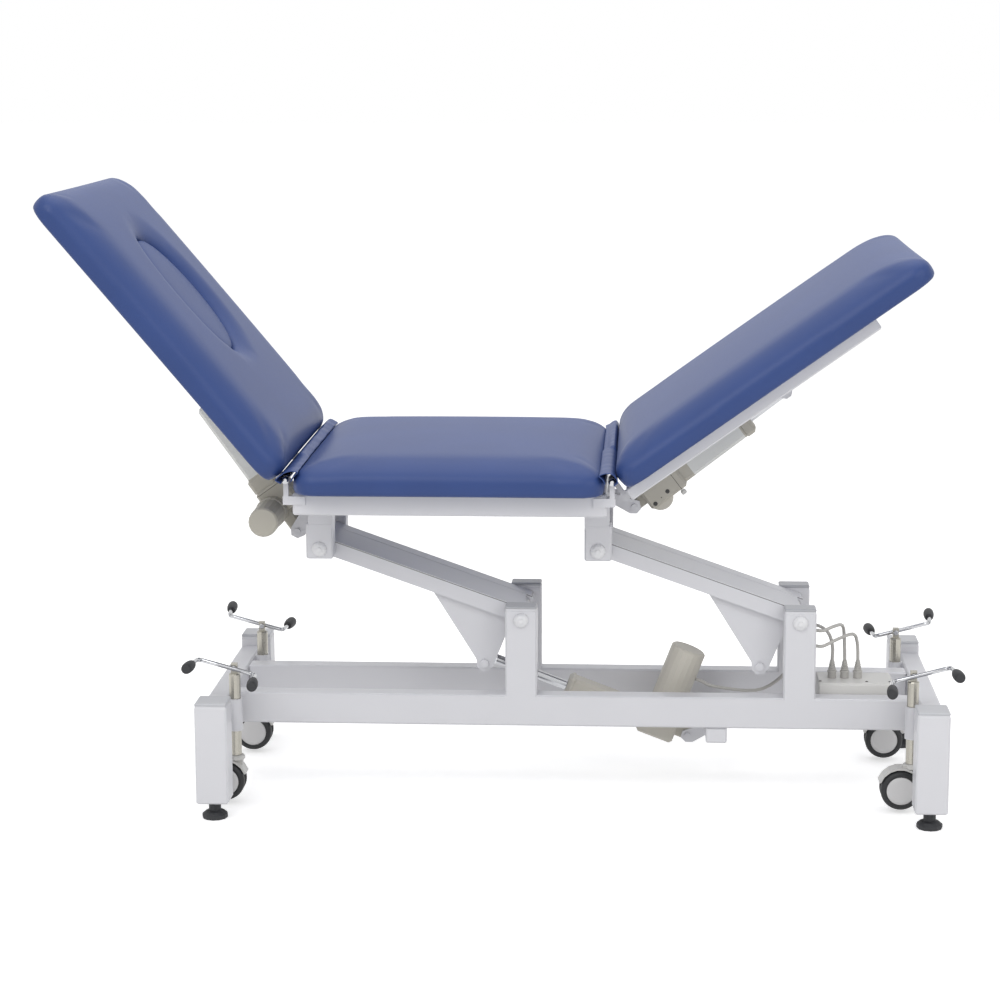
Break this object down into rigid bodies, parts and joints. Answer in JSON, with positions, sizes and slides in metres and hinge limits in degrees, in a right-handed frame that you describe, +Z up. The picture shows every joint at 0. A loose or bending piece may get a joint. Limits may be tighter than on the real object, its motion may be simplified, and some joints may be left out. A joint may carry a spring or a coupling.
{
  "type": "electric treatment table",
  "caption": "Electric treatment table with padded seat, tilting back with a face hole and plug, leg section, parallel lift arms, actuators, and a steel base on feet and retractable casters.",
  "frame": {"origin": "on the floor under the middle of the table's bounding box", "axes": "X runs along the table with the back section at -X, Y runs across it with the control box's side at -Y, and Z is up"},
  "size_m": [1.6894, 0.6358, 1.156],
  "materials": {
    "off_white_paint": "satin powder coat",
    "blue_vinyl": "soft vinyl over foam",
    "beige_plastic": "fine matt",
    "pale_plastic": "fine matt",
    "chrome": "polished",
    "dark_rubber": "matt",
    "caster_tyre": "matt",
    "grey_lead": "smooth"
  },
  "bodies": {
    "base": {"near_rail": "off_white_paint", "far_rail": "off_white_paint", "left_end_frame": "off_white_paint", "right_end_frame": "off_white_paint", "actuator_crossbar": "off_white_paint", "control_box": "pale_plastic", "plug_height": "grey_lead", "plug_back": "grey_lead", "plug_leg": "grey_lead", "height_lead": "grey_lead", "back_lead": "grey_lead", "leg_lead": "grey_lead", "lower_shaft_left": "pale_plastic", "lower_shaft_right": "pale_plastic"},
    "right_arm": {"right_arm": "off_white_paint"},
    "left_arm": {"left_arm": "off_white_paint"},
    "seat": {"seat_frame": "off_white_paint", "seat_cushion": "blue_vinyl", "upper_shaft_left": "pale_plastic", "upper_shaft_right": "pale_plastic", "back_gap_flap": "blue_vinyl", "leg_gap_flap": "blue_vinyl", "back_hinge_rod": "chrome", "leg_hinge_rod": "chrome"},
    "back": {"back_frame": "off_white_paint", "back_cushion": "blue_vinyl"},
    "face_plug": {"face_plug": "blue_vinyl"},
    "leg": {"leg_frame": "off_white_paint", "leg_cushion": "blue_vinyl"},
    "height_actuator": {"height_actuator_body": "beige_plastic"},
    "height_rod": {"height_actuator_rod": "chrome"},
    "back_actuator": {"back_actuator_body": "beige_plastic"},
    "back_rod": {"back_actuator_rod": "chrome"},
    "leg_actuator": {"leg_actuator_body": "beige_plastic"},
    "leg_rod": {"leg_actuator_rod": "chrome"},
    "caster_near_left_stem": {"caster_near_left_stem": "chrome"},
    "caster_near_left_pedal": {"caster_near_left_pedal": "chrome"},
    "caster_near_left_hood": {"caster_near_left_hood": "pale_plastic"},
    "caster_near_left_wheels": {"caster_near_left_wheels": "caster_tyre"},
    "foot_near_left": {"foot_near_left": "dark_rubber"},
    "caster_far_left_stem": {"caster_far_left_stem": "chrome"},
    "caster_far_left_pedal": {"caster_far_left_pedal": "chrome"},
    "caster_far_left_hood": {"caster_far_left_hood": "pale_plastic"},
    "caster_far_left_wheels": {"caster_far_left_wheels": "caster_tyre"},
    "foot_far_left": {"foot_far_left": "dark_rubber"},
    "caster_near_right_stem": {"caster_near_right_stem": "chrome"},
    "caster_near_right_pedal": {"caster_near_right_pedal": "chrome"},
    "caster_near_right_hood": {"caster_near_right_hood": "pale_plastic"},
    "caster_near_right_wheels": {"caster_near_right_wheels": "caster_tyre"},
    "foot_near_right": {"foot_near_right": "dark_rubber"},
    "caster_far_right_stem": {"caster_far_right_stem": "chrome"},
    "caster_far_right_pedal": {"caster_far_right_pedal": "chrome"},
    "caster_far_right_hood": {"caster_far_right_hood": "pale_plastic"},
    "caster_far_right_wheels": {"caster_far_right_wheels": "caster_tyre"},
    "foot_far_right": {"foot_far_right": "dark_rubber"}
  },
  "joints": [
    {"name": "lift", "type": "hinge", "parent": "base", "child": "right_arm", "pos_m": [0.55222, 0, 0.348], "axis": [0, 1, 0], "range_deg": [-16, 32]},
    {"name": "seat_level", "type": "hinge", "parent": "right_arm", "child": "seat", "pos_m": [0.17116, 0, 0.48219], "axis": [0, 1, 0], "range_deg": [-32.5, 16.5]},
    {"name": "left_arm_pivot", "type": "hinge", "parent": "base", "child": "left_arm", "pos_m": [0.02622, 0, 0.348], "axis": [0, 1, 0], "range_deg": [-16.5, 32.5]},
    {"name": "lift_actuator_pivot", "type": "hinge", "parent": "base", "child": "height_actuator", "pos_m": [0.34422, 0, 0.1], "axis": [0, 1, 0], "range_deg": [-2.5, 4], "deforming": ["height_lead"]},
    {"name": "lift_stroke", "type": "slide", "parent": "height_actuator", "child": "height_rod", "axis": [-0.9339, 0, 0.3575], "range_m": [-0.0325, 0.0635]},
    {"name": "back_tilt", "type": "hinge", "parent": "seat", "child": "back", "pos_m": [-0.39578, 0, 0.64], "axis": [0, 1, 0], "range_deg": [-50, 4]},
    {"name": "back_actuator_pivot", "type": "hinge", "parent": "seat", "child": "back_actuator", "pos_m": [-0.40974, 0, 0.49699], "axis": [0, 1, 0], "range_deg": [-41, 4]},
    {"name": "back_stroke", "type": "slide", "parent": "back_actuator", "child": "back_rod", "axis": [-0.5805, 0, 0.8142], "range_m": [-0.1055, 0.0095]},
    {"name": "plug_pull", "type": "slide", "parent": "back", "child": "face_plug", "axis": [0.766, 0, 0.6428], "range_m": [0, 0.09]},
    {"name": "leg_tilt", "type": "hinge", "parent": "seat", "child": "leg", "pos_m": [0.19922, 0, 0.64], "axis": [0, -1, 0], "range_deg": [-35.5, 4]},
    {"name": "leg_actuator_pivot", "type": "hinge", "parent": "seat", "child": "leg_actuator", "pos_m": [0.23826, 0, 0.54999], "axis": [0, -1, 0], "range_deg": [-36, 4.5]},
    {"name": "leg_stroke", "type": "slide", "parent": "leg_actuator", "child": "leg_rod", "axis": [0.791, 0, 0.6118], "range_m": [-0.0615, 0.008]},
    {"name": "caster_near_left_lower", "type": "slide", "parent": "base", "child": "caster_near_left_stem", "axis": [0, 0, -1], "range_m": [0, 0.018]},
    {"name": "caster_near_left_press", "type": "hinge", "parent": "caster_near_left_stem", "child": "caster_near_left_pedal", "pos_m": [-0.51378, -0.174, 0.262], "axis": [0, -1, 0], "range_deg": [0, 18.2]},
    {"name": "caster_near_left_swivel", "type": "hinge", "parent": "caster_near_left_stem", "child": "caster_near_left_hood", "pos_m": [-0.51378, -0.174, 0.0927], "axis": [0, 0, 1], "continuous": true},
    {"name": "caster_near_left_roll", "type": "hinge", "parent": "caster_near_left_hood", "child": "caster_near_left_wheels", "pos_m": [-0.53378, -0.174, 0.044], "axis": [0, 1, 0], "continuous": true},
    {"name": "foot_near_left_turn", "type": "hinge", "parent": "base", "child": "foot_near_left", "pos_m": [-0.53878, -0.276, 0], "axis": [0, 0, 1], "continuous": true},
    {"name": "caster_far_left_lower", "type": "slide", "parent": "base", "child": "caster_far_left_stem", "axis": [0, 0, -1], "range_m": [0, 0.018]},
    {"name": "caster_far_left_press", "type": "hinge", "parent": "caster_far_left_stem", "child": "caster_far_left_pedal", "pos_m": [-0.51378, 0.174, 0.262], "axis": [0, -1, 0], "range_deg": [0, 18.2]},
    {"name": "caster_far_left_swivel", "type": "hinge", "parent": "caster_far_left_stem", "child": "caster_far_left_hood", "pos_m": [-0.51378, 0.174, 0.0927], "axis": [0, 0, 1], "continuous": true},
    {"name": "caster_far_left_roll", "type": "hinge", "parent": "caster_far_left_hood", "child": "caster_far_left_wheels", "pos_m": [-0.53378, 0.174, 0.044], "axis": [0, 1, 0], "continuous": true},
    {"name": "foot_far_left_turn", "type": "hinge", "parent": "base", "child": "foot_far_left", "pos_m": [-0.53878, 0.276, 0], "axis": [0, 0, 1], "continuous": true},
    {"name": "caster_near_right_lower", "type": "slide", "parent": "base", "child": "caster_near_right_stem", "axis": [0, 0, -1], "range_m": [0, 0.018]},
    {"name": "caster_near_right_press", "type": "hinge", "parent": "caster_near_right_stem", "child": "caster_near_right_pedal", "pos_m": [0.76022, -0.174, 0.262], "axis": [0, 1, 0], "range_deg": [0, 18.2]},
    {"name": "caster_near_right_swivel", "type": "hinge", "parent": "caster_near_right_stem", "child": "caster_near_right_hood", "pos_m": [0.76022, -0.174, 0.0927], "axis": [0, 0, 1], "continuous": true},
    {"name": "caster_near_right_roll", "type": "hinge", "parent": "caster_near_right_hood", "child": "caster_near_right_wheels", "pos_m": [0.74022, -0.174, 0.044], "axis": [0, 1, 0], "continuous": true},
    {"name": "foot_near_right_turn", "type": "hinge", "parent": "base", "child": "foot_near_right", "pos_m": [0.78522, -0.276, 0], "axis": [0, 0, 1], "continuous": true},
    {"name": "caster_far_right_lower", "type": "slide", "parent": "base", "child": "caster_far_right_stem", "axis": [0, 0, -1], "range_m": [0, 0.018]},
    {"name": "caster_far_right_press", "type": "hinge", "parent": "caster_far_right_stem", "child": "caster_far_right_pedal", "pos_m": [0.76022, 0.174, 0.262], "axis": [0, 1, 0], "range_deg": [0, 18.2]},
    {"name": "caster_far_right_swivel", "type": "hinge", "parent": "caster_far_right_stem", "child": "caster_far_right_hood", "pos_m": [0.76022, 0.174, 0.0927], "axis": [0, 0, 1], "continuous": true},
    {"name": "caster_far_right_roll", "type": "hinge", "parent": "caster_far_right_hood", "child": "caster_far_right_wheels", "pos_m": [0.74022, 0.174, 0.044], "axis": [0, 1, 0], "continuous": true},
    {"name": "foot_far_right_turn", "type": "hinge", "parent": "base", "child": "foot_far_right", "pos_m": [0.78522, 0.276, 0], "axis": [0, 0, 1], "continuous": true}
  ],
  "couplings": [
    {"joint": "seat_level", "follows": "lift", "ratio": -1},
    {"joint": "left_arm_pivot", "follows": "lift", "ratio": 1},
    {"joint": "lift_actuator_pivot", "follows": "lift", "ratio": 0.1071},
    {"joint": "lift_stroke", "follows": "lift", "m_per_rad": 0.11116},
    {"joint": "back_actuator_pivot", "follows": "back_tilt", "ratio": 0.8116},
    {"joint": "back_stroke", "follows": "back_tilt", "m_per_rad": 0.11902},
    {"joint": "leg_actuator_pivot", "follows": "leg_tilt", "ratio": 1.0022},
    {"joint": "leg_stroke", "follows": "leg_tilt", "m_per_rad": 0.09657},
    {"joint": "caster_near_left_press", "follows": "caster_near_left_lower", "rad_per_m": 17.45},
    {"joint": "caster_far_left_press", "follows": "caster_far_left_lower", "rad_per_m": 17.45},
    {"joint": "caster_near_right_press", "follows": "caster_near_right_lower", "rad_per_m": 17.45},
    {"joint": "caster_far_right_press", "follows": "caster_far_right_lower", "rad_per_m": 17.45}
  ]
}
